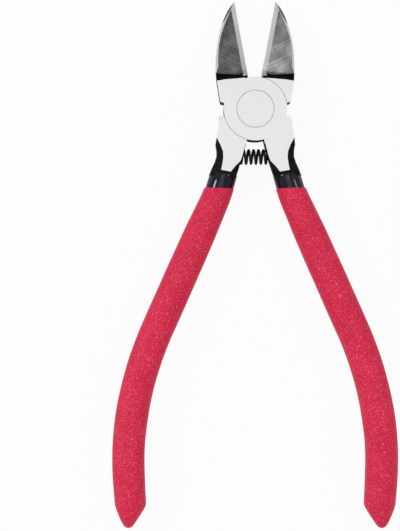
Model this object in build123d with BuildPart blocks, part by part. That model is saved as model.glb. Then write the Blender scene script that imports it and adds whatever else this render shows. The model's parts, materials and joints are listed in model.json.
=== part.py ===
from build123d import *
import math
import os

# Side-cutting nippers for trimming moulded parts: two lap-jointed levers turn on one flush
# countersunk rivet, a coil spring between the handles holds them open, and each handle is
# dipped twice, first in a thin dark coat and then in a thick grip.
# Each lever is drawn closed, with its cutting edge on the line x = 0 and the pivot at the
# origin, and is then turned open by half the opening angle. Lengths in millimetres.

os.makedirs("parts", exist_ok=True)

# ---- overall layout -----------------------------------------------------------------------
pivot_y = 44.5            # pivot ahead of the middle of the tool
half_opening = 10.75      # each lever is turned open by this much, degrees

# ---- lap joint and rivet ------------------------------------------------------------------
body_thickness = 8.5
hub_radius = 9.1
lap_gap = 0.10            # round the hub, where it turns inside the other lever
rivet_radius = 3.2
head_radius = 5.4
rivet_play = 0.035        # the rivet is tight in the front lever and turns in the rear one
edge_break = 0.12         # fine chamfer on the rim of each rivet head

# ---- jaws ---------------------------------------------------------------------------------
jaw_reach = 32.07         # pivot to the tip, along the cutting edge
jaw_shoulder = 0.25       # the jaw's outer side stands this far outside the hub
jaw_width = hub_radius + jaw_shoulder
heel_y = 3.9              # lower corner of the jaw's outer side
step_gap = 0.77           # hub to the step where the blade drops from the full thickness
edge_gap = 1.35           # hub to the lower end of the cutting edge
step_y = hub_radius + step_gap
edge_start_y = hub_radius + edge_gap
side_radius = 43.0        # long curve of the jaw's outer side
bevel_width = 1.33        # bevel along the cutting edge
back_relief = 0.35        # flush back of the blade, below the back of the body
tip_rise = 2.5            # how far the flush back climbs from the step to the tip
grind_slope = 0.59        # rise of the hollow-ground face per mm towards the outer side
grind_sag = 0.45          # depth of the hollow in that face
foot_radius = 2.25        # curve at the foot of the step
outer_bevel_angle = 29.5  # lean of the bevel on the blade's outer side, from upright
bevel_foot_z = -0.9       # height of that bevel's lower edge, from the middle plane

# ---- handles ------------------------------------------------------------------------------
handle_inner = 0.80       # inner side below the hub, from the closed centre line
handle_outer = hub_radius + 0.32
shoulder_y = -3.9         # top of the handle's outer side
neck_gap = 1.2            # hub to where the flat faces begin to narrow
neck_start_y = -hub_radius - neck_gap
tang_width = 5.6
tang_thickness = 5.0
splay = 24.0              # lean of the straight run of the open handle, degrees
neck_lean = 14.0          # lean where the handle leaves the neck, degrees
neck_bend = 55.0          # radius of the bend below the neck
long_bend = 96.0          # radius of the long bend back to upright
straight_run = 39.95
end_run = 17.95           # upright run at the end of the grip
neck_end = (hub_radius - 0.17, neck_start_y - 7.64)  # start of the open handle's centre line

# ---- dipped coats -------------------------------------------------------------------------
sleeve_wall = 0.40        # of the dark coat, over the flat faces
grip_wall = 0.65          # of the red coat over the dark one, front and back
sleeve_height = body_thickness + 2 * sleeve_wall
sleeve_width = 7.85
grip_height = sleeve_height + 2 * grip_wall
grip_width = 9.5
grip_top_width = sleeve_width + 0.65
middle_z = grip_height / 2  # height of the levers' middle plane; the tool lies on its grips
grip_top_y = neck_start_y - 12.36
sleeve_top_y = neck_start_y - 8.25
sleeve_tilt = 5.1         # lean of the sleeve's top edge, degrees

# ---- return spring ------------------------------------------------------------------------
spring_gap = 4.47         # hub to the spring's axis
spring_y = -hub_radius - spring_gap
spring_outer_radius = 2.3
wire_radius = 0.37
spring_length = 13.0
spring_pitch = 1.42
pocket_play = 0.25        # round the spring in its pockets

half_body = body_thickness / 2
half_spring = spring_length / 2
pocket_radius = spring_outer_radius + pocket_play
back_slope = tip_rise / (jaw_reach - step_y)


def turned(x, y):
    """A point of the closed front lever, on the open tool."""
    turn = math.radians(half_opening)
    across = x * math.cos(turn) - y * math.sin(turn)
    along = x * math.sin(turn) + y * math.cos(turn)
    return (across, pivot_y + along)


def heading(x, y):
    """A direction of the closed front lever, on the open tool."""
    turn = math.radians(half_opening)
    across = x * math.cos(turn) - y * math.sin(turn)
    along = x * math.sin(turn) + y * math.cos(turn)
    return Vector(across, along, 0)


def flat_plane(z):
    """Plane across the tool at height z above the middle, turned with the lever."""
    turn = math.radians(half_opening)
    lean = (math.cos(turn), math.sin(turn), 0)
    return Plane(origin=(0, pivot_y, middle_z + z), x_dir=lean, z_dir=(0, 0, 1))


def cross_plane(y):
    """Upright plane square to the lever at y, with x across the lever."""
    origin_x, origin_y = turned(0, y)
    return Plane(
        origin=(origin_x, origin_y, middle_z),
        x_dir=heading(1, 0),
        z_dir=heading(0, -1),
    )


def centre_line(s):
    """Point and lean of the open right handle at distance s along its centre line."""
    lean_0 = math.radians(neck_lean)
    lean_1 = math.radians(splay)
    neck_arc = neck_bend * (lean_1 - lean_0)
    long_arc = long_bend * lean_1
    x, y = neck_end
    part = min(s, neck_arc)
    lean = lean_0 + part / neck_bend
    x += neck_bend * (math.cos(lean_0) - math.cos(lean))
    y -= neck_bend * (math.sin(lean) - math.sin(lean_0))
    part = min(max(s - neck_arc, 0), straight_run)
    x += part * math.sin(lean_1)
    y -= part * math.cos(lean_1)
    part = min(max(s - neck_arc - straight_run, 0), long_arc)
    if part > 0:
        lean = lean_1 - part / long_bend
        x += long_bend * (math.cos(lean) - math.cos(lean_1))
        y -= long_bend * (math.sin(lean_1) - math.sin(lean))
    part = max(s - neck_arc - straight_run - long_arc, 0)
    y -= part
    return x, y, lean


neck_arc_length = neck_bend * math.radians(splay - neck_lean)
long_arc_length = long_bend * math.radians(splay)
handle_run = neck_arc_length + straight_run + long_arc_length + end_run


def handle_plane(s, shift=0.0):
    """Plane square to the handle at distance s, its x axis across the handle, y axis up."""
    x, y, lean = centre_line(s)
    across = Vector(math.cos(lean), math.sin(lean), 0)
    down = Vector(math.sin(lean), -math.cos(lean), 0)
    x += shift * across.X
    y += shift * across.Y
    return Plane(
        origin=(x, pivot_y + y, middle_z),
        x_dir=(across.X, across.Y, 0),
        z_dir=(down.X, down.Y, 0),
    )


def neck_section(inner, outer, half_thick, inner_round, outer_round):
    """Corner-rounded outline of the neck; the rounding differs inside and outside."""
    i, o, h = inner, outer, half_thick
    a, b = inner_round, outer_round
    c = math.sqrt(0.5)
    with BuildLine() as line:
        Line((i, -h + a), (i, h - a))
        ThreePointArc((i, h - a), (i + a - a * c, h - a + a * c), (i + a, h))
        Line((i + a, h), (o - b, h))
        ThreePointArc((o - b, h), (o - b + b * c, h - b + b * c), (o, h - b))
        Line((o, h - b), (o, -h + b))
        ThreePointArc((o, -h + b), (o - b + b * c, -h + b - b * c), (o - b, -h))
        Line((o - b, -h), (i + a, -h))
        ThreePointArc((i + a, -h), (i + a - a * c, -h + a - a * c), (i, -h + a))
    return line.line


def jaw_blank():
    """Full-thickness jaw before grinding."""
    top = flat_plane(-half_body)
    hip = (-jaw_width, 0.33 * jaw_reach)
    waist = (-0.506 * jaw_width, 0.816 * jaw_reach)
    tip = (0, jaw_reach)
    chord = math.dist(hip, waist)
    bow = side_radius - math.sqrt(side_radius**2 - chord**2 / 4)
    run = ((waist[0] - hip[0]) / chord, (waist[1] - hip[1]) / chord)
    middle = (
        (hip[0] + waist[0]) / 2 - run[1] * bow,
        (hip[1] + waist[1]) / 2 + run[0] * bow,
    )
    half_turn = math.asin(chord / 2 / side_radius)
    lead = math.atan2(run[1], run[0]) - half_turn
    with BuildPart() as jaw:
        with BuildSketch(top):
            with BuildLine():
                Line((-4.0, 1.0), (0.47 - hub_radius, heel_y - 0.6))
                Line((0.47 - hub_radius, heel_y - 0.6), (-jaw_width - 0.2, heel_y))
                Line((-jaw_width - 0.2, heel_y), hip)
                ThreePointArc(hip, middle, waist)
                TangentArc(waist, tip, tangent=(math.cos(lead), math.sin(lead)))
                Line(tip, (0, edge_start_y))
                ThreePointArc(
                    (0, edge_start_y),
                    (-0.27, edge_start_y - 0.48),
                    (-0.9, edge_start_y - 0.72),
                )
                Line((-0.9, edge_start_y - 0.72), (-1.4, hub_radius - 0.5))
                Line((-1.4, hub_radius - 0.5), (-4.0, 1.0))
            make_face()
        extrude(amount=body_thickness)
    return jaw.part


def front_grind():
    """What grinding takes from the front of the blade: the edge bevel and the hollow face."""
    low = -half_body + back_relief
    knee = (-bevel_width, low + bevel_width)
    far_x = -jaw_width - 2.5
    far = (far_x, knee[1] - grind_slope * (far_x - knee[0]))
    run = math.dist(knee, far)
    down = ((far[1] - knee[1]) / run, (far[0] - knee[0]) / run)
    middle = (
        (knee[0] + far[0]) / 2 - down[0] * grind_sag,
        (knee[1] + far[1]) / 2 + down[1] * grind_sag,
    )
    climb = heading(0, 1) + Vector(0, 0, back_slope)
    with BuildPart() as grind:
        with BuildSketch(cross_plane(step_y)):
            with BuildLine():
                Line((1.0, low - 1.0), knee)
                ThreePointArc(knee, middle, far)
                Line(far, (far_x, half_body + 6))
                Line((far_x, half_body + 6), (1.0, half_body + 6))
                Line((1.0, half_body + 6), (1.0, low - 1.0))
            make_face()
        extrude(amount=30, dir=climb.normalized())
        start = cross_plane(step_y)
        foot = [e for e in grind.edges() if abs(start.to_local_coords(e.center()).Z) < 0.001]
        foot = [e for e in foot if start.to_local_coords(e.center()).Y < half_body]
        foot = [e for e in foot if abs(start.to_local_coords(e.center()).X) < jaw_width + 2]
        foot = [e for e in foot if start.to_local_coords(e.center()).X < 0.9]
        fillet(foot, foot_radius)
    return grind.part



def outer_grind():
    """The bevel along the blade's outer side, as the space outside a leaning wall."""
    hip = (-jaw_width, 0.46 * jaw_reach)
    waist = (-0.506 * jaw_width, 0.816 * jaw_reach)
    tip = (0, jaw_reach)
    middle = (-0.845 * jaw_width, 0.64 * jaw_reach)
    with BuildPart() as grind:
        with BuildSketch(flat_plane(bevel_foot_z)):
            with Locations((-6, 24)):
                Rectangle(24, 2 * (24 - 0.37 * jaw_reach))
        extrude(amount=body_thickness)
        with BuildSketch(flat_plane(bevel_foot_z)):
            with BuildLine():
                Line((6, 0), (6, jaw_reach + 7))
                Line((6, jaw_reach + 7), tip)
                Line(tip, waist)
                ThreePointArc(waist, middle, hip)
                Line(hip, (-jaw_width - 1.9, 0.36 * jaw_reach))
                Line((-jaw_width - 1.9, 0.36 * jaw_reach), (-16, 10))
                Line((-16, 10), (-16, 0))
                Line((-16, 0), (6, 0))
            make_face()
        extrude(amount=body_thickness, taper=outer_bevel_angle, mode=Mode.SUBTRACT)
    return grind.part


def back_grind():
    """What flush grinding takes from the back of the blade."""
    low = -half_body + back_relief
    lever_along = heading(0, 1)
    origin_x, origin_y = turned(0, 0)
    with BuildPart() as grind:
        along_side = Plane(
            origin=(origin_x, origin_y, middle_z),
            x_dir=lever_along,
            z_dir=lever_along.cross(Vector(0, 0, 1)),
        )
        with BuildSketch(along_side):
            with BuildLine():
                Line((step_y, low), (step_y + 30, low + 30 * back_slope))
                Line((step_y + 30, low + 30 * back_slope), (step_y + 30, -half_body - 3))
                Line((step_y + 30, -half_body - 3), (step_y, -half_body - 3))
                Line((step_y, -half_body - 3), (step_y, low))
            make_face()
        extrude(amount=20, both=True)
    return grind.part


def neck():
    """Handle from the hub to the tang: flat at first, then rounding over on both sides."""
    top, inner, outer, half = neck_start_y, handle_inner, handle_outer, half_body
    stations = [
        (top, inner, outer, half, 0.15, 0.15),
        (top - 1.7, inner + 0.08, outer - 0.06, half, 0.15, 1.45),
        (top - 3.5, inner + 0.22, outer - 0.70, half, 0.15, 1.90),
        (top - 5.1, inner + 0.40, outer - 1.00, half, 0.20, 1.98),
        (top - 6.9, inner + 0.62, outer - 0.76, half, 1.20, 2.30),
        (top - 8.7, inner + 0.82, outer - 0.28, half, 1.95, 2.75),
        (top - 10.7, inner + 1.25, outer + 0.13, half - 0.1, 2.40, 3.00),
    ]
    with BuildPart() as handle:
        with BuildSketch(flat_plane(-half_body)):
            with BuildLine():
                Polyline(
                    (3.0, -3.0),
                    (hub_radius - 0.75, shoulder_y - 0.1),
                    (handle_outer + 0.27, shoulder_y),
                    (handle_outer + 0.11, shoulder_y - 0.9),
                    (handle_outer, neck_start_y),
                    (handle_inner, neck_start_y),
                    (handle_inner - 0.05, -hub_radius),
                    (3.0, -3.0),
                )
            make_face()
        extrude(amount=body_thickness)
        for y, near, far, thick, near_round, far_round in stations:
            with BuildSketch(cross_plane(y)):
                with BuildLine():
                    add(neck_section(near, far, thick, near_round, far_round))
                make_face()
        loft(ruled=True)
    return handle.part




def shape_below(y):
    """Everything ahead of a level line across the open tool, for trimming the dipped coats."""
    with BuildPart() as block:
        with BuildSketch(Plane.XY):
            with Locations((0, pivot_y + y + 100)):
                Rectangle(200, 200)
        extrude(amount=60, both=True)
    return block.part


def run_path(start, stop):
    """The handle's centre line between two distances, as arcs and straight lines."""
    marks = [neck_arc_length, neck_arc_length + straight_run, handle_run - end_run]
    cuts = [start] + [m for m in marks if start + 0.01 < m < stop - 0.01] + [stop]
    with BuildLine() as path:
        for low, high in zip(cuts[:-1], cuts[1:]):
            ends = []
            for s in (low, (low + high) / 2, high):
                x, y, lean = centre_line(s)
                ends.append((x, pivot_y + y, middle_z))
            middle = (low + high) / 2
            if middle < marks[0] or marks[1] < middle < marks[2]:
                ThreePointArc(ends[0], ends[1], ends[2])
            else:
                Line(ends[0], ends[2])
    return path.line


def bar_along(start, stop, width, height, corner):
    """Bar of one rounded section along the handle's centre line."""
    with BuildPart() as bar:
        with BuildSketch(handle_plane(start)):
            RectangleRounded(width, height, corner)
        sweep(path=run_path(start, stop))
    return bar.part


def taper_along(sections):
    """Tapering piece of a coat, from (distance, width, height, sideways shift) sections."""
    with BuildPart() as piece:
        for s, w, h, shift in sections:
            with BuildSketch(handle_plane(s, shift)):
                RectangleRounded(w, h, 0.44 * min(w, h))
        loft(ruled=True)
    return piece.part


def tang():
    """Flat bar inside the coats, following the handle's centre line."""
    return bar_along(0.5, handle_run - 6.0, tang_width, tang_thickness, 1.2)


def lever():
    """One lever before the lap joint: jaw, neck and tang, opened; the front one of the pair."""
    with BuildPart() as blank:
        add(jaw_blank())
        add(front_grind(), mode=Mode.SUBTRACT)
        add(outer_grind(), mode=Mode.SUBTRACT)
        add(back_grind(), mode=Mode.SUBTRACT)
        add(neck())
        add(tang())
    return blank.part



# ---- the levers ---------------------------------------------------------------------------
lever_blank = lever()
rear_blank = mirror(lever_blank, about=Plane.YZ)

with BuildPart() as front_lever:
    add(lever_blank)
    with BuildSketch(flat_plane(-half_body)):
        Circle(hub_radius + lap_gap)
    extrude(amount=half_body, mode=Mode.SUBTRACT)
    with BuildSketch(flat_plane(0)):
        Circle(hub_radius)
    extrude(amount=half_body)
    with BuildSketch(Plane(origin=(0, pivot_y, middle_z), x_dir=(1, 0, 0), z_dir=(0, -1, 0))):
        with BuildLine():
            Polyline(
                (0, -half_body - 1),
                (rivet_radius, -half_body - 1),
                (rivet_radius, half_body - (head_radius - rivet_radius)),
                (head_radius, half_body),
                (head_radius, half_body + 1),
                (0, half_body + 1),
                (0, -half_body - 1),
            )
        make_face()
    revolve(axis=Axis((0, pivot_y, 0), (0, 0, 1)), mode=Mode.SUBTRACT)
    with BuildSketch(Plane(origin=(0, pivot_y + spring_y, middle_z), z_dir=(1, 0, 0))):
        Circle(pocket_radius)
    extrude(amount=half_spring + 0.05, mode=Mode.SUBTRACT)
front_lever.part.label = "front_lever"

with BuildPart() as rear_lever:
    add(rear_blank)
    with BuildSketch(flat_plane(0)):
        Circle(hub_radius + lap_gap)
    extrude(amount=half_body, mode=Mode.SUBTRACT)
    with BuildSketch(flat_plane(-half_body)):
        Circle(hub_radius)
    extrude(amount=half_body)
    with BuildSketch(Plane(origin=(0, pivot_y, middle_z), x_dir=(1, 0, 0), z_dir=(0, -1, 0))):
        with BuildLine():
            Polyline(
                (0, -half_body - 1),
                (head_radius + rivet_play, -half_body - 1),
                (head_radius + rivet_play, -half_body),
                (rivet_radius + rivet_play, -half_body + head_radius - rivet_radius),
                (rivet_radius + rivet_play, half_body + 1),
                (0, half_body + 1),
                (0, -half_body - 1),
            )
        make_face()
    revolve(axis=Axis((0, pivot_y, 0), (0, 0, 1)), mode=Mode.SUBTRACT)
    with BuildSketch(Plane(origin=(0, pivot_y + spring_y, middle_z), z_dir=(-1, 0, 0))):
        Circle(pocket_radius)
    extrude(amount=half_spring + 0.05, mode=Mode.SUBTRACT)
rear_lever.part.label = "rear_lever"

# ---- the rivet: a shank with a countersunk head at each end, ground flush -------------------
with BuildPart() as pivot_rivet:
    with BuildSketch(Plane(origin=(0, pivot_y, middle_z), x_dir=(1, 0, 0), z_dir=(0, -1, 0))):
        with BuildLine():
            Polyline(
                (0, -half_body),
                (head_radius - edge_break, -half_body),
                (head_radius - edge_break, -half_body + edge_break),
                (rivet_radius, -half_body + head_radius - rivet_radius),
                (rivet_radius, half_body - (head_radius - rivet_radius)),
                (head_radius - edge_break, half_body - edge_break),
                (head_radius - edge_break, half_body),
                (0, half_body),
                (0, -half_body),
            )
        make_face()
    revolve(axis=Axis((0, pivot_y, 0), (0, 0, 1)))
pivot_rivet.part.label = "pivot_rivet"

# ---- the return spring, lying across the handles with its ends in the pockets --------------
coil_radius = spring_outer_radius - wire_radius
spring_run = spring_length - 2 * wire_radius
spring_start_x = -spring_run / 2

with BuildPart() as return_spring:
    for turn in range(math.ceil(spring_run / spring_pitch)):
        reach = min(spring_pitch, spring_run - turn * spring_pitch)
        start = (spring_start_x + turn * spring_pitch, pivot_y + spring_y, middle_z)
        with BuildLine():
            coil = Helix(spring_pitch, reach, coil_radius, center=start, direction=(1, 0, 0))
        with BuildSketch(Plane(origin=coil @ 0, z_dir=coil % 0)):
            Circle(wire_radius)
        sweep(path=coil, is_frenet=True)
return_spring.part.label = "return_spring"

# ---- the dipped coats ---------------------------------------------------------------------
widening_end = neck_arc_length + 14.0
grip_top = [
    (1.0, grip_top_width, grip_height, 0.0),
    (0.5 * neck_arc_length, grip_top_width, grip_height, 0.0),
    (neck_arc_length, 0.5 * (grip_top_width + grip_width), grip_height, 0.0),
    (widening_end, grip_width, grip_height, 0.0),
]
grip_end = [
    (handle_run - 9.5, grip_width, grip_height, 0.0),
    (handle_run - 6.75, 0.94 * grip_width, 0.97 * grip_height, -0.1),
    (handle_run - 4.6, 0.84 * grip_width, 0.89 * grip_height, -0.1),
    (handle_run - 2.9, 0.66 * grip_width, 0.74 * grip_height, 0.1),
    (handle_run - 1.3, 0.42 * grip_width, 0.51 * grip_height, 0.25),
    (handle_run, 0.14 * grip_width, 0.25 * grip_height, 0.3),
]
inner_width = 0.86 * sleeve_width
inner_height = 0.82 * sleeve_height
sleeve_top = [
    (-5.0, sleeve_width, sleeve_height, 0.0),
    (0.5, sleeve_width, sleeve_height, 0.0),
    (0.6 * neck_arc_length, sleeve_width, sleeve_height, 0.0),
    (neck_arc_length + 4.0, inner_width, inner_height, 0.0),
]
with BuildPart() as grip_form:
    add(taper_along(grip_top))
    add(bar_along(widening_end, handle_run - 9.5, grip_width, grip_height, 0.44 * grip_width))
    add(taper_along(grip_end))
print("grip form", grip_form.part.volume, grip_form.part.is_valid, len(grip_form.solids()))
with BuildPart() as sleeve_form:
    add(taper_along(sleeve_top))
    add(bar_along(neck_arc_length + 4.0, handle_run - 5.0, inner_width, inner_height, 0.44 * inner_width))
print("sleeve form", sleeve_form.part.volume, sleeve_form.part.is_valid, len(sleeve_form.solids()))

with BuildPart() as sleeve_trim:
    with BuildSketch(Plane(origin=(neck_end[0] + 0.32, pivot_y + sleeve_top_y, middle_z)).rotated((0, 0, sleeve_tilt))):
        with Locations((0, 50)):
            Rectangle(100, 100)
    extrude(amount=30, both=True)

with BuildPart() as right_inner_sleeve:
    add(sleeve_form.part)
    add(sleeve_trim.part, mode=Mode.SUBTRACT)
    add(front_lever.part, mode=Mode.SUBTRACT)
right_inner_sleeve.part.label = "right_inner_sleeve"

with BuildPart() as right_grip:
    add(grip_form.part)
    add(shape_below(grip_top_y), mode=Mode.SUBTRACT)
    add(sleeve_form.part, mode=Mode.SUBTRACT)
    add(front_lever.part, mode=Mode.SUBTRACT)
right_grip.part.label = "right_grip"

left_sleeve_shape = mirror(right_inner_sleeve.part, about=Plane.YZ)
left_grip_shape = mirror(right_grip.part, about=Plane.YZ)

with BuildPart() as left_inner_sleeve:
    add(left_sleeve_shape)
left_inner_sleeve.part.label = "left_inner_sleeve"

with BuildPart() as left_grip:
    add(left_grip_shape)
left_grip.part.label = "left_grip"

export_step(front_lever.part, "parts/front_lever.step")
export_step(rear_lever.part, "parts/rear_lever.step")
export_step(pivot_rivet.part, "parts/pivot_rivet.step")
export_step(return_spring.part, "parts/return_spring.step")
export_step(left_inner_sleeve.part, "parts/left_inner_sleeve.step")
export_step(right_inner_sleeve.part, "parts/right_inner_sleeve.step")
export_step(left_grip.part, "parts/left_grip.step")
export_step(right_grip.part, "parts/right_grip.step")

for node in (front_lever, rear_lever, pivot_rivet, return_spring, left_inner_sleeve,
             right_inner_sleeve, left_grip, right_grip):
    b = node.part.bounding_box()
    print(node.part.label, round(node.part.volume, 1), node.part.is_valid, len(node.solids()),
          [round(v, 2) for v in (b.min.X, b.min.Y, b.min.Z, b.max.X, b.max.Y, b.max.Z)])
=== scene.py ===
# %% [markdown]
# # Sprue nippers
#
# The tool lies on its back, front face up, and is seen from straight above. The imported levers,
# the rivet and the joint between them come in as a fixed frame. The steel keeps the frame's own
# shapes, because they were ground to size there, and only gets finishes. The soft coats and the
# spring are modelled here, because their charm is in surfaces that a plain solid doesn't have.

# %% Load the frame
import json
import math

import bpy
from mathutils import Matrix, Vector


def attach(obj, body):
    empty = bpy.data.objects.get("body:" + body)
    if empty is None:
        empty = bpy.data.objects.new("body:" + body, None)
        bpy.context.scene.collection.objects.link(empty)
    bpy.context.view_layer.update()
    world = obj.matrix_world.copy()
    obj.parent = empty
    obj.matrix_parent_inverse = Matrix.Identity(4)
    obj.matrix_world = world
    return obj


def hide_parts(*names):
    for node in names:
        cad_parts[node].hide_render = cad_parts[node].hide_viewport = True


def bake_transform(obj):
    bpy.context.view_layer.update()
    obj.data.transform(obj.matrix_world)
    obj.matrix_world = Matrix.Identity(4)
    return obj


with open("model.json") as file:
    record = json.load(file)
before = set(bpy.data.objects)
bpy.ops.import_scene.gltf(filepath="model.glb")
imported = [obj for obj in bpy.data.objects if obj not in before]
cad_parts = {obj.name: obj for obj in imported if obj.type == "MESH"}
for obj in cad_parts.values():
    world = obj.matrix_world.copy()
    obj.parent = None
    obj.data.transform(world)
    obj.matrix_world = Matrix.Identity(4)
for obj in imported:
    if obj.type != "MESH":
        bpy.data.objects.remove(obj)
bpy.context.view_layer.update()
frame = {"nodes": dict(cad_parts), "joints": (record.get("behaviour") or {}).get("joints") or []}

# %% [markdown]
# The pivot is the one point that everything else is measured from: the levers were each drawn
# closed, then turned open by the same angle. Its place comes from the joint, not from a number
# typed in twice.

# %% The pivot and the opening
joint = frame["joints"][0]
pivot = Vector(joint["pos_m"])
half_opening = math.radians(10.75)  # each lever is turned open by this much
mm = 0.001
print("pivot, mm:", [round(v * 1000, 2) for v in pivot])


def closed_place(point, side):
    """A point of the open tool, in the drawing of the closed front lever, in mm."""
    x = (point[0] - pivot.x) * side / mm
    y = (point[1] - pivot.y) / mm
    c, s = math.cos(half_opening), math.sin(half_opening)
    return x * c + y * s, -x * s + y * c, (point[2] - pivot.z) / mm


# %% [markdown]
# ## Finishes
#
# Five finishes make the steel: satin ground flats, black oxide where the forging was never
# ground, the hollow-ground blade faces painted dark as painted shade, the bright bevels, and a
# near-black painted shade in the foot of each step. Each is a small node tree on Object
# coordinates, so the grain has its real size in millimetres whatever it is put on.
# A helper wires up the parts that all of them share.

# %% A helper for node trees
def finish_tree(name, colour, metallic, roughness, **sockets):
    """A new material and its shader, with plain values set on the shader's own sockets."""
    material = bpy.data.materials.new(name)
    material.use_nodes = True
    nodes, links = material.node_tree.nodes, material.node_tree.links
    shader = nodes["Principled BSDF"]
    shader.inputs["Base Color"].default_value = (*colour, 1.0)
    shader.inputs["Metallic"].default_value = metallic
    shader.inputs["Roughness"].default_value = roughness
    for socket, value in sockets.items():
        shader.inputs[socket.replace("_", " ")].default_value = value
    return material, nodes, links, shader


def add_node(nodes, kind, **settings):
    node = nodes.new(kind)
    for key, value in settings.items():
        if key.startswith("in_"):
            node.inputs[key[3:].replace("_", " ")].default_value = value
        else:
            setattr(node, key, value)
    return node


def object_place(nodes, links, scale, turn=0.0):
    """Object coordinates through a Mapping node, with the given scale on each axis."""
    place = add_node(nodes, "ShaderNodeTexCoord")
    mapping = add_node(nodes, "ShaderNodeMapping")
    mapping.inputs["Scale"].default_value = scale
    mapping.inputs["Rotation"].default_value = (0, 0, turn)
    links.new(place.outputs["Object"], mapping.inputs["Vector"])
    return mapping.outputs["Vector"]


def colour_ramp(nodes, links, value, stops):
    """Colour that follows a value through a few stops of (place, colour)."""
    ramp = add_node(nodes, "ShaderNodeValToRGB")
    elements = ramp.color_ramp.elements
    while len(elements) < len(stops):
        elements.new(0.5)
    for element, (place, colour) in zip(elements, stops):
        element.position = place
        element.color = (*colour, 1.0)
    links.new(value, ramp.inputs["Fac"])
    return ramp.outputs["Color"]


def value_range(nodes, links, value, low, high):
    node = add_node(nodes, "ShaderNodeMapRange")
    node.inputs["To Min"].default_value = low
    node.inputs["To Max"].default_value = high
    links.new(value, node.inputs["Value"])
    return node.outputs["Result"]


def bump_from(nodes, links, shader, height, distance, strength=1.0):
    bump = add_node(nodes, "ShaderNodeBump")
    bump.inputs["Distance"].default_value = distance
    bump.inputs["Strength"].default_value = strength
    links.new(height, bump.inputs["Height"])
    links.new(bump.outputs["Normal"], shader.inputs["Normal"])
    return bump


# %% [markdown]
# The flats were finished on a fine belt: a pale, even grey with a very fine directional grain.
# Noise stretched along X gives the grain; it changes the roughness a little and raises a bump of
# a few microns. Next to the foot of the step a mask paints shade on each flat, turning it black
# beyond a line, and its two helpers are shared with the blade faces.

# %% Masks by place
def linear_value(nodes, links, factors, absolute_x=False):
    """Object coordinates times three factors, added up."""
    place = add_node(nodes, "ShaderNodeTexCoord")
    source = place.outputs["Object"]
    if absolute_x:
        upright = add_node(nodes, "ShaderNodeVectorMath", operation="ABSOLUTE")
        links.new(source, upright.inputs[0])
        source = upright.outputs["Vector"]
    product = add_node(nodes, "ShaderNodeVectorMath", operation="DOT_PRODUCT")
    links.new(source, product.inputs[0])
    product.inputs[1].default_value = factors
    return product.outputs["Value"]


def step_mask(nodes, links, value, start, end):
    """1 at start, 0 at end, smooth between."""
    node = add_node(nodes, "ShaderNodeMapRange", interpolation_type="SMOOTHSTEP")
    for name, number in (("From Min", start), ("From Max", end), ("To Min", 1.0), ("To Max", 0.0)):
        node.inputs[name].default_value = number
    links.new(value, node.inputs["Value"])
    return node.outputs["Result"]


def mixed_colour(nodes, links, factor, first, second):
    """first where the factor is 0, second where it is 1."""
    node = add_node(nodes, "ShaderNodeMix", data_type="RGBA")
    links.new(factor, node.inputs["Factor"])
    links.new(first, node.inputs["A"])
    node.inputs["B"].default_value = (*second, 1.0)
    return node.outputs["Result"]


# %% Satin ground steel
satin_steel, nodes, links, shader = finish_tree("satin_steel", (0.80, 0.81, 0.83), 1.0, 0.38)
grain = add_node(nodes, "ShaderNodeTexNoise", in_Scale=1.0, in_Detail=4.0, in_Roughness=0.6)
links.new(object_place(nodes, links, (500, 6500, 6500)), grain.inputs["Vector"])
pale = colour_ramp(nodes, links, grain.outputs["Fac"],
                   [(0.25, (0.64, 0.65, 0.66)), (0.75, (0.78, 0.79, 0.80))])
# painted shade: beyond a line next to the step's foot the flat is painted black
edge = linear_value(nodes, links, (0.082, 1.0, 0.0), absolute_x=True)
step_edge_painted_shade = step_mask(nodes, links, edge, 0.05362, 0.05355)
links.new(mixed_colour(nodes, links, step_edge_painted_shade, pale, (0.004, 0.004, 0.0045)),
          shader.inputs["Base Color"])
links.new(value_range(nodes, links, grain.outputs["Fac"], 0.30, 0.48), shader.inputs["Roughness"])
bump_from(nodes, links, shader, grain.outputs["Fac"], 0.000006)

# %% [markdown]
# The forged surfaces that no belt touched keep a black oxide skin. It is nearly black with a
# soft sheen, and slightly uneven, as an oxide bath leaves it.

# %% Black oxide
black_oxide, nodes, links, shader = finish_tree(
    "black_oxide", (0.012, 0.012, 0.013), 0.0, 0.50, Specular_IOR_Level=0.02
)
patches = add_node(nodes, "ShaderNodeTexNoise", in_Scale=1.0, in_Detail=6.0)
links.new(object_place(nodes, links, (900, 900, 900)), patches.inputs["Vector"])
links.new(
    colour_ramp(nodes, links, patches.outputs["Fac"],
                [(0.3, (0.006, 0.006, 0.007)), (0.75, (0.020, 0.020, 0.021))]),
    shader.inputs["Base Color"],
)
oxide_roughness = value_range(nodes, links, patches.outputs["Fac"], 0.34, 0.52)
links.new(oxide_roughness, shader.inputs["Roughness"])
bump_from(nodes, links, shader, patches.outputs["Fac"], 0.00002)

# %% [markdown]
# The curved foot of the step gets painted shade, a near-black colour, since no light gets out of
# that corner.

# %% Painted shade in the foot
# painted shade: a near-black colour for the curved foot of the step
foot_painted_shade, nodes, links, shader = finish_tree(
    "foot_painted_shade", (0.0025, 0.0025, 0.003), 0.0, 0.6, Specular_IOR_Level=0.08
)
soot = add_node(nodes, "ShaderNodeTexNoise", in_Scale=1.0, in_Detail=4.0)
links.new(object_place(nodes, links, (1500, 1500, 1500)), soot.inputs["Vector"])
links.new(value_range(nodes, links, soot.outputs["Fac"], 0.5, 0.7), shader.inputs["Roughness"])
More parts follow.
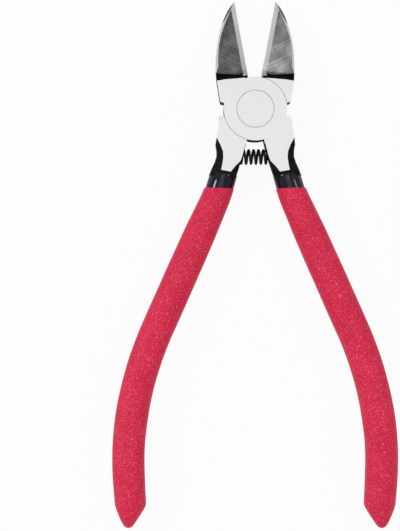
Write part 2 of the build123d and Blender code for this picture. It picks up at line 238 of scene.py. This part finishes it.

# %% [markdown]
# The hollow-ground blade faces are painted dark, as painted shade for their lean away from the
# light, and a wheel has left curved marks on them. The marks are arcs about a centre beyond the
# other blade, so the pattern reads the distance from that centre: noise over that distance makes
# fine rings. Further along the blade the grey gets darker still as painted shade, and towards the
# foot of the step painted shade turns it black with a soft edge.

# %% Hollow-ground steel
def hollow_ground(name, side):
    material, nodes, links, shader = finish_tree(name, (0.20, 0.20, 0.205), 1.0, 0.44)
    place = add_node(nodes, "ShaderNodeTexCoord")
    apart = add_node(nodes, "ShaderNodeVectorMath", operation="SUBTRACT")
    links.new(place.outputs["Object"], apart.inputs[0])
    apart.inputs[1].default_value = (side * 0.0101, pivot.y + 0.0538, pivot.z)
    length = add_node(nodes, "ShaderNodeVectorMath", operation="LENGTH")
    links.new(apart.outputs["Vector"], length.inputs[0])
    rings = add_node(nodes, "ShaderNodeTexNoise", noise_dimensions="1D",
                     in_Scale=2300.0, in_Detail=3.0, in_Roughness=0.75)
    links.new(length.outputs["Value"], rings.inputs["W"])
    broad = add_node(nodes, "ShaderNodeTexNoise", in_Scale=330.0, in_Detail=3.0)
    links.new(place.outputs["Object"], broad.inputs["Vector"])
    both = add_node(nodes, "ShaderNodeMath", operation="ADD")
    links.new(rings.outputs["Fac"], both.inputs[0])
    links.new(broad.outputs["Fac"], both.inputs[1])
    half = add_node(nodes, "ShaderNodeMath", operation="MULTIPLY")
    links.new(both.outputs["Value"], half.inputs[0])
    half.inputs[1].default_value = 0.5
    # painted shade: the grey is kept dark for the face's lean away from the light; the rings in it
    # are the wheel's marks
    grey = colour_ramp(nodes, links, half.outputs["Value"],
                       [(0.36, (0.085, 0.085, 0.089)), (0.50, (0.145, 0.145, 0.149)),
                        (0.66, (0.27, 0.27, 0.275))])
    # painted shade: the grey darkens to half further along the blade, towards the tips
    shade = add_node(nodes, "ShaderNodeMath", operation="MULTIPLY")
    links.new(step_mask(nodes, links, linear_value(nodes, links, (0.0, 1.0, 0.0)), 0.058, 0.072),
              shade.inputs[0])
    shade.inputs[1].default_value = 0.5
    lift = add_node(nodes, "ShaderNodeMath", operation="ADD")
    links.new(shade.outputs["Value"], lift.inputs[0])
    lift.inputs[1].default_value = 0.5
    darker = add_node(nodes, "ShaderNodeMix", data_type="RGBA", blend_type="MULTIPLY")
    darker.inputs["Factor"].default_value = 1.0
    links.new(grey, darker.inputs["A"])
    links.new(lift.outputs["Value"], darker.inputs["B"])
    grey = darker.outputs["Result"]
    # painted shade: near-black towards the foot of the step
    foot = step_mask(nodes, links, linear_value(nodes, links, (0.0, 1.0, 0.0)), 0.05465, 0.0552)
    links.new(mixed_colour(nodes, links, foot, grey, (0.004, 0.004, 0.0045)),
              shader.inputs["Base Color"])
    bump_from(nodes, links, shader, rings.outputs["Fac"], 0.00001)
    return material


hollow_left = hollow_ground("hollow_ground_left", 1)
hollow_right = hollow_ground("hollow_ground_right", -1)

# %% [markdown]
# The cutting bevels and the bevels along the outer sides are the brightest steel on the tool.

# %% Bright bevels
bright_steel, nodes, links, shader = finish_tree(
    "bright_bevel_steel", (0.77, 0.775, 0.78), 1.0, 0.30
)
grain = add_node(nodes, "ShaderNodeTexNoise", in_Scale=1.0, in_Detail=3.0)
links.new(object_place(nodes, links, (6000, 500, 6000)), grain.inputs["Vector"])
links.new(value_range(nodes, links, grain.outputs["Fac"], 0.24, 0.40), shader.inputs["Roughness"])
bump_from(nodes, links, shader, grain.outputs["Fac"], 0.000005)

# %% [markdown]
# ## Finishes on the levers
#
# Each face of a packed lever takes its finish from where it is and which way it points, read in
# the drawing of the closed lever: flats point straight up or down, the step's curved foot lies
# just above the hub, and the two bevels and the hollow face are told apart by their lean.

# %% Which finish a lever face gets
SATIN, BLACK, HOLLOW, BRIGHT, FOOT = range(5)
flat_height = 4.25      # of the flats, from the middle plane
blade_start = 9.9       # where the step ends and the blade begins
foot_end = 12.6         # where the curve of the foot has run out
edge_strip = -1.36      # inner border of the hollow face; the cutting bevel lies beyond it
bevel_wall_start = 20.0  # from here up, the blade's outer wall was ground bright too


def lever_finish(x, y, z, nx, ny, nz):
    """Finish of one face, from its centre in mm from the pivot and its normal; jaw at x < 0."""
    if abs(nz) > 0.999 and abs(abs(z) - flat_height) < 0.02:
        return SATIN
    if y < blade_start or x > 0.3:
        return BLACK
    if nz < -0.98:
        return SATIN
    if nz < 0.25:
        return BRIGHT if y > bevel_wall_start and nx < -0.25 else BLACK
    if x > edge_strip:
        return BRIGHT
    if y < foot_end and ny > 0.4:
        return FOOT
    return BRIGHT if nx < -0.25 else HOLLOW


def finish_lever(node, side, hollow):
    """Give the lever its five finishes, face by face."""
    lever = frame["nodes"][node]
    mesh = lever.data
    mesh.materials.clear()
    for material in (satin_steel, black_oxide, hollow, bright_steel, foot_painted_shade):
        mesh.materials.append(material)
    c, s = math.cos(half_opening), math.sin(half_opening)
    counts = [0, 0, 0, 0, 0]
    for face in mesh.polygons:
        x, y, z = closed_place(face.center, side)
        n = face.normal
        nx, ny = n.x * side * c + n.y * s, -n.x * side * s + n.y * c
        face.material_index = lever_finish(x, y, z, nx, ny, n.z)
        counts[face.material_index] += 1
    print(node, "faces satin, black, hollow, bright, foot:", counts)


finish_lever("front_lever", 1, hollow_left)
finish_lever("rear_lever", -1, hollow_right)

rivet = frame["nodes"]["pivot_rivet"]
rivet.data.materials.clear()
rivet.data.materials.append(satin_steel)

# %% [markdown]
# ## The coats' finishes
#
# The red coat is a vinyl with a fine grain that glitters. One fine noise, about a third of a
# millimetre across, raises the grain as a bump, paints shade into its hollows, and paints its few
# highest points as pale pink glints, painted highlights. A broad, weak noise keeps the red from
# being the same all over.

# %% Red vinyl with painted glints
red_vinyl, nodes, links, shader = finish_tree(
    "red_vinyl", (0.80, 0.022, 0.07), 0.0, 0.5, Specular_IOR_Level=0.22
)
place = add_node(nodes, "ShaderNodeTexCoord")
clouds = add_node(nodes, "ShaderNodeTexNoise", in_Scale=160.0, in_Detail=5.0)
links.new(place.outputs["Object"], clouds.inputs["Vector"])
fine = add_node(nodes, "ShaderNodeTexNoise", in_Scale=2600.0, in_Detail=3.0, in_Roughness=0.7)
links.new(place.outputs["Object"], fine.inputs["Vector"])
base = colour_ramp(nodes, links, clouds.outputs["Fac"],
                   [(0.3, (0.76, 0.016, 0.062)), (0.7, (0.86, 0.024, 0.080))])
# painted shade in the grain's hollows, and painted highlights as pale pink glints on its highest
# points
grain_painted_shade_and_glints = colour_ramp(nodes, links, fine.outputs["Fac"],
                    [(0.36, (0.80, 0.62, 0.66)), (0.52, (1.0, 1.0, 1.0)),
                     (0.60, (1.05, 2.0, 1.7)), (0.67, (1.15, 12.0, 7.0))])
mixed = add_node(nodes, "ShaderNodeMix", data_type="RGBA", blend_type="MULTIPLY")
mixed.inputs["Factor"].default_value = 1.0
links.new(base, mixed.inputs["A"])
links.new(grain_painted_shade_and_glints, mixed.inputs["B"])
links.new(mixed.outputs["Result"], shader.inputs["Base Color"])
bump_from(nodes, links, shader, fine.outputs["Fac"], 0.0001, 0.7)

# %% [markdown]
# The first coat shows for a few millimetres above the red one: a smooth, glossy navy-black.

# %% Navy gloss
navy_gloss, nodes, links, shader = finish_tree(
    "navy_gloss", (0.0014, 0.0040, 0.017), 0.0, 0.06, Specular_IOR_Level=0.4
)
ripple = add_node(nodes, "ShaderNodeTexNoise", in_Scale=220.0, in_Detail=2.0)
place = add_node(nodes, "ShaderNodeTexCoord")
links.new(place.outputs["Object"], ripple.inputs["Vector"])
bump_from(nodes, links, shader, ripple.outputs["Fac"], 0.0002, 0.5)

# %% Black spring wire
spring_wire, nodes, links, shader = finish_tree(
    "spring_wire", (0.010, 0.010, 0.011), 0.0, 0.36, Specular_IOR_Level=0.35
)
drawn = add_node(nodes, "ShaderNodeTexNoise", in_Scale=2500.0, in_Detail=3.0)
place = add_node(nodes, "ShaderNodeTexCoord")
links.new(place.outputs["Object"], drawn.inputs["Vector"])
links.new(value_range(nodes, links, drawn.outputs["Fac"], 0.28, 0.46), shader.inputs["Roughness"])

# %% [markdown]
# ## The handle's centre line
#
# Each handle leaves the neck on a gentle bend, runs straight, and curves back to upright. The
# coats are modelled straight, along X, where every section is square to an axis, and a Curve
# modifier then lays them along this line. Only the right one is made; the left one is mirrored.

# %% The centre line
neck_lean, splay = math.radians(14.0), math.radians(24.0)
neck_bend, long_bend = 55.0 * mm, 96.0 * mm
straight_run, end_run = 39.95 * mm, 17.95 * mm
line_start = Vector((8.93 * mm, pivot.y - 17.94 * mm, pivot.z))
neck_arc = neck_bend * (splay - neck_lean)
long_arc = long_bend * splay
handle_run = neck_arc + straight_run + long_arc + end_run


def lean_at(s):
    """Lean of the handle from upright at distance s along its centre line."""
    if s < neck_arc:
        return neck_lean + s / neck_bend
    if s < neck_arc + straight_run:
        return splay
    return max(splay - (s - neck_arc - straight_run) / long_bend, 0.0)


bpy.ops.object.select_all(action="DESELECT")
line_data = bpy.data.curves.new("handle_line", "CURVE")
line_data.dimensions = "3D"
line_data.twist_mode = "Z_UP"
spline = line_data.splines.new("POLY")
step = 0.5 * mm
count = int(handle_run / step) + 1
spline.points.add(count - 1)
place = line_start.copy()
for i in range(count):
    spline.points[i].co = (*place, 1.0)
    lean = lean_at((i + 0.5) * step)
    place += Vector((math.sin(lean), -math.cos(lean), 0)) * step
handle_line = bpy.data.objects.new("handle_line", line_data)
bpy.context.collection.objects.link(handle_line)
print("handle line, mm:", round(handle_run / mm, 1), "ends at", [round(v / mm, 2) for v in place])

# %% [markdown]
# ## Dipped coats
#
# A coat starts as a plane turned to face along X. Bevelling its corners makes it a rounded
# oblong; its outline is then extruded ring by ring, and each ring is resized and leaned, just as
# one would by hand. A ring just inside the next coat makes the rolled lip that a dip leaves.

# %% Model a coat along X
def model_coat(name, rings, corner, close_end):
    """Tube through rings of (distance, width, height, sideways, lean), in mm and degrees."""
    bpy.ops.object.select_all(action="DESELECT")
    s, width, height, aside, lean = rings[0]
    bpy.ops.mesh.primitive_plane_add(size=1.0, rotation=(0, math.pi / 2, 0))
    coat = bpy.context.object
    coat.name = coat.data.name = name
    bpy.ops.object.transform_apply(location=True, rotation=True, scale=True)
    bpy.ops.object.mode_set(mode="EDIT")
    bpy.ops.mesh.select_all(action="SELECT")
    bpy.ops.transform.resize(value=(1, width * mm, height * mm))
    bpy.ops.mesh.bevel(offset=corner * min(width, height) * mm, segments=6, affect="VERTICES")
    bpy.ops.transform.translate(value=(s * mm, aside * mm, 0))
    bpy.ops.transform.rotate(value=-math.radians(lean), orient_axis="Z",
                             center_override=(s * mm, aside * mm, 0))
    now = rings[0]
    bpy.ops.mesh.select_mode(type="EDGE")
    for ring in rings[1:]:
        ds, shift = ring[0] - now[0], ring[3] - now[3]
        bpy.ops.mesh.extrude_edges_move(
            TRANSFORM_OT_translate={"value": (ds * mm, shift * mm, 0)}
        )
        centre = (ring[0] * mm, ring[3] * mm, 0)
        bpy.ops.transform.rotate(value=math.radians(now[4] - ring[4]), orient_axis="Z",
                                 center_override=centre)
        bpy.ops.transform.resize(value=(1, ring[1] / now[1], ring[2] / now[2]),
                                 center_override=centre)
        now = ring
    if close_end:
        bpy.ops.mesh.merge(type="CENTER")
    else:
        bpy.ops.mesh.edge_face_add()
    bpy.ops.mesh.select_all(action="SELECT")
    bpy.ops.mesh.normals_make_consistent(inside=False)
    bpy.ops.object.mode_set(mode="OBJECT")
    return coat


def apply_modifier(piece, kind, name, **settings):
    modifier = piece.modifiers.new(name, kind)
    for key, value in settings.items():
        setattr(modifier, key, value)
    bpy.context.view_layer.objects.active = piece
    bpy.ops.object.modifier_apply(modifier=name)


def lay_on_handle(piece):
    """Round the rings off and bend the straight coat along the handle's centre line."""
    apply_modifier(piece, "SUBSURF", "rounding", levels=2, render_levels=2)
    apply_modifier(piece, "CURVE", "bend", object=handle_line, deform_axis="POS_X")
    bpy.ops.object.select_all(action="DESELECT")
    piece.select_set(True)
    bpy.context.view_layer.objects.active = piece
    bpy.ops.object.shade_smooth()


def mirrored(piece, name):
    """A copy with its own mesh, mirrored to the left handle, its faces turned out again."""
    bpy.ops.object.select_all(action="DESELECT")
    copy = piece.copy()
    copy.data = piece.data.copy()
    copy.name = copy.data.name = name
    bpy.context.collection.objects.link(copy)
    copy.select_set(True)
    bpy.context.view_layer.objects.active = copy
    bpy.ops.object.mode_set(mode="EDIT")
    bpy.ops.mesh.select_all(action="SELECT")
    bpy.ops.transform.mirror(constraint_axis=(True, False, False), center_override=(0, 0, 0))
    bpy.ops.mesh.normals_make_consistent(inside=False)
    bpy.ops.object.mode_set(mode="OBJECT")
    return copy


def box_mm(piece):
    corners = [v.co for v in piece.data.vertices]
    return [
        [round(f(c[i] for c in corners) / mm, 2) for i in range(3)] for f in (min, max)
    ]


# %% [markdown]
# The dark coat begins with a thin lip on the steel and goes on under the red one. Its top edge
# is the level of the first dip, so it leans by a few degrees from square.

# %% Inner sleeves
sleeve_rings = [
    (1.1, 6.9, 7.9, 0.0, -9.5),
    (0.62, 7.35, 8.6, 0.0, -9.5),
    (0.56, 7.72, 9.0, 0.0, -9.5),
    (0.75, 7.88, 9.22, 0.0, -9.5),
    (1.3, 7.9, 9.3, 0.0, -8.0),
    (3.0, 7.86, 9.3, 0.0, -3.0),
    (5.0, 7.8, 9.2, 0.0, 0.0),
    (7.5, 7.5, 8.8, 0.0, 0.0),
    (9.0, 6.9, 8.0, 0.0, 0.0),
]
right_sleeve = model_coat("right_sleeve_coat", sleeve_rings, 0.49, close_end=False)
lay_on_handle(right_sleeve)
left_sleeve = mirrored(right_sleeve, "left_sleeve_coat")
print("right sleeve, mm:", box_mm(right_sleeve))

# %% [markdown]
# The red coat has a thicker lip, swells by a millimetre over its first third, and ends in the
# slanted drip that forms as the handle is drawn out of the dip. A faint, broad unevenness from a
# Displace modifier keeps its outline from looking machined.

# %% Grips
run = handle_run / mm
grip_rings = [
    (6.2, 7.4, 8.6, 0.0, 0.0),
    (5.15, 7.7, 9.2, 0.0, -17.0),
    (4.86, 8.2, 9.9, 0.0, -19.0),
    (4.98, 8.62, 10.3, 0.0, -19.0),
    (5.5, 8.66, 10.5, 0.0, -18.0),
    (7.5, 8.56, 10.5, 0.0, -12.0),
    (11.0, 8.62, 10.55, 0.0, -4.0),
    (15.0, 8.95, 10.6, 0.0, 0.0),
    (20.0, 9.3, 10.6, 0.0, 0.0),
    (26.0, 9.5, 10.6, 0.0, 0.0),
]
for share in (0.38, 0.46, 0.54, 0.62, 0.69, 0.76, 0.83):
    grip_rings.append((share * run, 9.5, 10.6, 0.0, 0.0))
grip_rings += [
    (run - 13.0, 9.4, 10.6, -0.2, 0.0),
    (run - 9.5, 9.25, 10.6, -0.5, 0.0),
    (run - 7.2, 9.2, 10.5, -0.65, 0.0),
    (run - 6.3, 9.0, 10.2, -0.65, 0.0),
    (run - 4.2, 7.0, 8.4, -0.35, 0.0),
    (run - 2.0, 4.6, 6.2, -0.05, 0.0),
    (run - 0.3, 2.7, 3.9, 0.1, 0.0),
    (run + 0.35, 1.1, 1.7, 0.15, 0.0),
]
right_coat = model_coat("right_grip_coat", grip_rings, 0.44, close_end=True)
lay_on_handle(right_coat)
unevenness = bpy.data.textures.new("dip_unevenness", "CLOUDS")
unevenness.noise_scale = 0.012
apply_modifier(right_coat, "DISPLACE", "unevenness", texture=unevenness, strength=0.00022,
               mid_level=0.5)
left_coat = mirrored(right_coat, "left_grip_coat")
print("right grip, mm:", box_mm(right_coat), "faces:", len(right_coat.data.polygons))

for piece, node, body, material, slot in (
    (right_sleeve, "right_inner_sleeve", "front_half", navy_gloss, "dark_dip"),
    (left_sleeve, "left_inner_sleeve", "rear_half", navy_gloss, "dark_dip"),
    (right_coat, "right_grip", "front_half", red_vinyl, "red_dip"),
    (left_coat, "left_grip", "rear_half", red_vinyl, "red_dip"),
):
    piece.data.materials.append(material)
    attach(piece, body)
    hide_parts(node)
bpy.data.objects.remove(handle_line)

# %% [markdown]
# ## The return spring
#
# The wire's round section is one circle beside the axis, and the Screw modifier winds it into a
# coil. Its ends sit in the two handles' pockets, so as the tool closes the coil has to follow
# both.

# %% Wind the spring
wire, coil, pitch, length = 0.37 * mm, 1.93 * mm, 1.42 * mm, 13.0 * mm
below_pivot = 13.57 * mm  # from the pivot down to the spring's axis
turns = (length - 2 * wire) / pitch
bpy.ops.object.select_all(action="DESELECT")
bpy.ops.mesh.primitive_circle_add(vertices=14, radius=wire, fill_type="NOTHING")
spring = bpy.context.object
spring.name = spring.data.name = "coil_spring"
bpy.ops.object.mode_set(mode="EDIT")
bpy.ops.mesh.select_all(action="SELECT")
bpy.ops.transform.translate(value=(-length / 2 + wire, coil, 0))
bpy.ops.object.mode_set(mode="OBJECT")
apply_modifier(spring, "SCREW", "wind", axis="X", angle=2 * math.pi * turns,
               screw_offset=length - 2 * wire, steps=int(28 * turns),
               render_steps=int(28 * turns), use_smooth_shade=True)
bpy.ops.object.mode_set(mode="EDIT")
bpy.ops.mesh.select_mode(type="EDGE")
bpy.ops.mesh.select_all(action="DESELECT")
bpy.ops.mesh.select_non_manifold()
bpy.ops.mesh.fill_holes(sides=0)
bpy.ops.mesh.select_all(action="SELECT")
bpy.ops.mesh.normals_make_consistent(inside=False)
bpy.ops.transform.translate(value=(0, pivot.y - below_pivot, pivot.z))
bpy.ops.object.mode_set(mode="OBJECT")
spring.data.materials.append(spring_wire)
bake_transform(spring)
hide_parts("return_spring")
print("spring, mm:", box_mm(spring), "turns:", round(turns, 1))

# %% [markdown]
# ## Floor, light and camera
#
# A product picture wants an even, white surround. The floor is mostly white to the camera and
# still takes a faint, soft shadow. One big soft lamp overhead lights the flats, a very small one
# beside it glints in the glossy coat, two at the sides give the coats their long reflections, the
# left one stronger, and the world fills the rest.

# %% Floor
bpy.ops.object.select_all(action="DESELECT")
bpy.ops.mesh.primitive_plane_add(size=6.0, location=(0, 0, -0.00005))
floor = bpy.context.object
floor.name = "floor"
floor_paper, nodes, links, shader = finish_tree("floor_paper", (0.9, 0.9, 0.9), 0.0, 0.9)
ray = add_node(nodes, "ShaderNodeLightPath")
white = add_node(nodes, "ShaderNodeEmission")
white.inputs["Color"].default_value = (1, 1, 1, 1)
to_camera = add_node(nodes, "ShaderNodeMath", operation="MULTIPLY")
links.new(ray.outputs["Is Camera Ray"], to_camera.inputs[0])
to_camera.inputs[1].default_value = 0.93
blend = add_node(nodes, "ShaderNodeMixShader")
links.new(to_camera.outputs["Value"], blend.inputs["Fac"])
links.new(shader.outputs["BSDF"], blend.inputs[1])
links.new(white.outputs["Emission"], blend.inputs[2])
links.new(blend.outputs["Shader"], nodes["Material Output"].inputs["Surface"])
floor.data.materials.append(floor_paper)

# %% World
fill_strength = 0.50
world = bpy.data.worlds.new("studio")
bpy.context.scene.world = world
world.use_nodes = True
nodes, links = world.node_tree.nodes, world.node_tree.links
background = nodes["Background"]
background.inputs["Color"].default_value = (1.0, 1.0, 1.0, 1.0)
seen = add_node(nodes, "ShaderNodeLightPath")
level = add_node(nodes, "ShaderNodeMapRange")
level.inputs["To Min"].default_value = fill_strength
level.inputs["To Max"].default_value = 1.0
links.new(seen.outputs["Is Camera Ray"], level.inputs["Value"])
links.new(level.outputs["Result"], background.inputs["Strength"])

# %% Lamps
def soft_lamp(name, place, size, power):
    """A square area lamp of the given side and watts, aimed at the frame's origin."""
    data = bpy.data.lights.new(name, "AREA")
    data.shape = "SQUARE"
    data.size = size
    data.energy = power
    lamp = bpy.data.objects.new(name, data)
    bpy.context.collection.objects.link(lamp)
    lamp.location = place
    lamp.rotation_mode = "QUATERNION"
    lamp.rotation_quaternion = (-Vector(place)).to_track_quat("-Z", "Y")


soft_lamp("overhead_softbox", (0.0, 0.05, 1.3), size=0.9, power=2.0)
soft_lamp("window_strip", (0.02, 0.10, 1.2), size=0.05, power=0.12)
soft_lamp("left_softbox", (-1.0, 0.2, 0.9), size=0.30, power=4.4)
soft_lamp("right_softbox", (1.0, 0.2, 0.9), size=0.30, power=1.3)

# %% Camera
camera_data = bpy.data.cameras.new("camera")
camera_data.sensor_width = 36.0
camera_data.lens = 112.0
camera = bpy.data.objects.new("camera", camera_data)
bpy.context.collection.objects.link(camera)
seen_length = 153.3 * mm  # length of the long side of the view, at the pivot's height
distance = seen_length * camera_data.lens / camera_data.sensor_width
camera.location = (-15.88 * mm, -0.39 * mm, pivot.z + distance)
camera_data.clip_start, camera_data.clip_end = 0.01, 20.0
bpy.context.scene.camera = camera
bpy.context.scene.view_settings.view_transform = "Standard"
print("camera distance, mm:", round(distance / mm))
